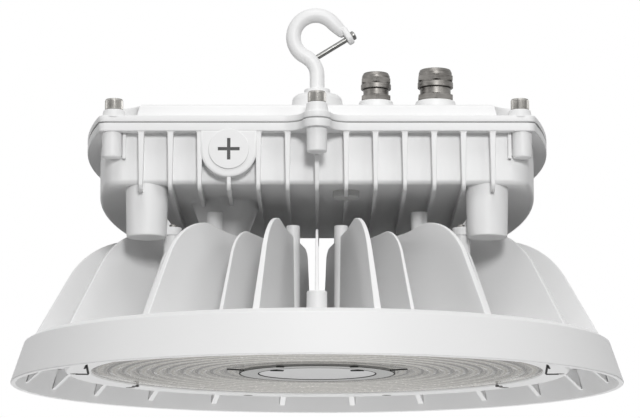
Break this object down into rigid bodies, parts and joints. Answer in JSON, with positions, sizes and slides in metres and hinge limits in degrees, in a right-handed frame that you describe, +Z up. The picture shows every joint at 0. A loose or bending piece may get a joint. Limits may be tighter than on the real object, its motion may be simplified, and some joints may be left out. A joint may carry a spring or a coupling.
{
  "type": "high bay light",
  "caption": "Round high bay light: finned cast head with flared rim and ring lens under a ribbed driver box with cable glands, hung from an open hook closed by a screw.",
  "frame": {"origin": "centre of the rim's lower edge, which the lamp stands on when it is put down", "axes": "+Z up along the hook, -Y towards the side with the large blanking plug, +X to the right seen from there"},
  "size_m": [0.4559, 0.456, 0.2892],
  "materials": {
    "white_powder_coat": "fine satin powder coat on cast aluminium",
    "hook_paint": "smooth white powder coat on bent bar",
    "plug_paint": "smooth white powder coat",
    "board_white": "white solder mask",
    "led_amber": "phosphor under clear resin",
    "grey_silicone": "matt silicone",
    "lens_clear": "moulded clear lens with ridges",
    "stainless_steel": "turned stainless steel",
    "dark_steel": "dark zinc plate",
    "ring_plastic": "smooth grey-white moulding",
    "cover_plastic": "satin white moulding",
    "vent_plastic": "grey moulding",
    "driver_case": "plain cast case",
    "terminal_plastic": "pale moulding",
    "wire_jacket": "silicone wire jacket",
    "nickel_plate": "nickel plate on brass",
    "black_rubber": "matt rubber"
  },
  "bodies": {
    "root": {"heat_sink": "white_powder_coat", "driver_box_base": "white_powder_coat", "driver_box_lid": "white_powder_coat", "hook": "hook_paint", "blanking_plug": "plug_paint", "lens_frame": "white_powder_coat", "led_board": "board_white", "leds": "led_amber", "lens_gasket": "grey_silicone", "lens": "lens_clear", "frame_screws": "stainless_steel", "centre_ring": "ring_plastic", "centre_cover_seal": "grey_silicone", "centre_cover": "cover_plastic", "duct_seal": "grey_silicone", "post_screws": "stainless_steel", "driver_box_seal": "grey_silicone", "lid_screws": "stainless_steel", "hook_screw": "dark_steel", "hook_washer": "stainless_steel", "hook_nut": "stainless_steel", "plug_seal": "grey_silicone", "vent_plug": "vent_plastic", "led_driver": "driver_case", "driver_screws": "stainless_steel", "terminal_block": "terminal_plastic", "board_leads": "wire_jacket", "small_gland_body": "nickel_plate", "small_gland_seal": "black_rubber", "small_gland_nut": "nickel_plate", "large_gland_body": "nickel_plate", "large_gland_seal": "black_rubber", "large_gland_nut": "nickel_plate"}
  },
  "joints": []
}
